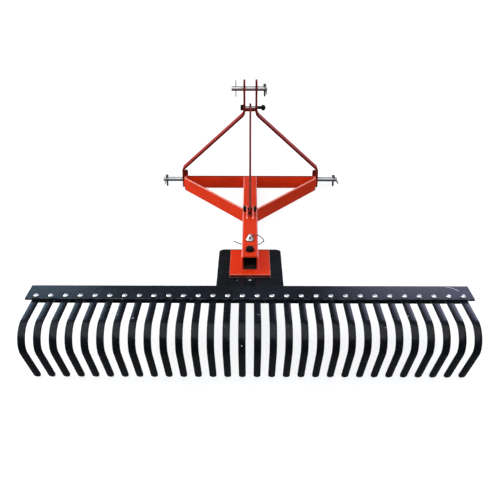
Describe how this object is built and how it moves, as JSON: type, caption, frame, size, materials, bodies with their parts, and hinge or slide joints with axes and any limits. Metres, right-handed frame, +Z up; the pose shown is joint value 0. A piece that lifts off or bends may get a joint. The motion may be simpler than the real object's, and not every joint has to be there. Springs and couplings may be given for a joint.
{
  "type": "three-point landscape rake",
  "caption": "Landscape rake for a compact tractor: a row of curved spring tines under a swivelling beam, carried by a boom and a small A-frame three-point hitch.",
  "frame": {"origin": "centre of the bounding box at floor level, as the rake stands parked on its tine tips and crossbar", "axes": "+X to the right along the beam as seen from behind, +Y forward to the tractor, +Z up"},
  "size_m": [1.6578, 1.3746, 0.5323],
  "materials": {
    "red_paint": "gloss orange-red enamel",
    "black_coat": "semi-gloss black powder coat",
    "zinc_plate": "bright zinc plate",
    "black_oxide": "black oxide"
  },
  "bodies": {
    "hitch_frame": {"crossbar": "red_paint", "boom_tube": "red_paint", "pivot_plate": "red_paint", "kingpin": "black_oxide", "lock_pin": "zinc_plate", "lock_wire": "zinc_plate", "mast_crosspiece": "red_paint", "rear_brace": "red_paint", "mast_bolt": "black_oxide", "lug_bolt": "black_oxide", "top_pin": "zinc_plate", "top_linch_pin": "zinc_plate", "top_pin_clip": "zinc_plate", "left_diagonal": "red_paint", "left_mast_bar": "red_paint", "left_corner_lug": "red_paint", "left_brace_lug": "red_paint", "left_lower_pin": "zinc_plate", "left_linch_pin": "zinc_plate", "right_diagonal": "red_paint", "right_mast_bar": "red_paint", "right_corner_lug": "red_paint", "right_brace_lug": "red_paint", "right_lower_pin": "zinc_plate", "right_linch_pin": "zinc_plate"},
    "rake_head": {"rake_beam": "black_coat", "swivel_plate": "black_coat", "left_rib": "black_coat", "right_rib": "black_coat", "tine_01": "black_coat", "tine_02": "black_coat", "tine_03": "black_coat", "tine_04": "black_coat", "tine_05": "black_coat", "tine_06": "black_coat", "tine_07": "black_coat", "tine_08": "black_coat", "tine_09": "black_coat", "tine_10": "black_coat", "tine_11": "black_coat", "tine_12": "black_coat", "tine_13": "black_coat", "tine_14": "black_coat", "tine_15": "black_coat", "tine_16": "black_coat", "tine_17": "black_coat", "tine_18": "black_coat", "tine_19": "black_coat", "tine_20": "black_coat", "tine_21": "black_coat", "tine_22": "black_coat", "tine_23": "black_coat", "tine_24": "black_coat", "tine_25": "black_coat", "tine_26": "black_coat", "tine_27": "black_coat", "tine_28": "black_coat", "tine_29": "black_coat", "tine_30": "black_coat"}
  },
  "joints": [
    {"name": "head_swivel", "type": "hinge", "parent": "hitch_frame", "child": "rake_head", "pos_m": [0, -0.24497, 0.18083], "axis": [0, 0.2446, 0.9696], "range_deg": [-30, 30]}
  ]
}
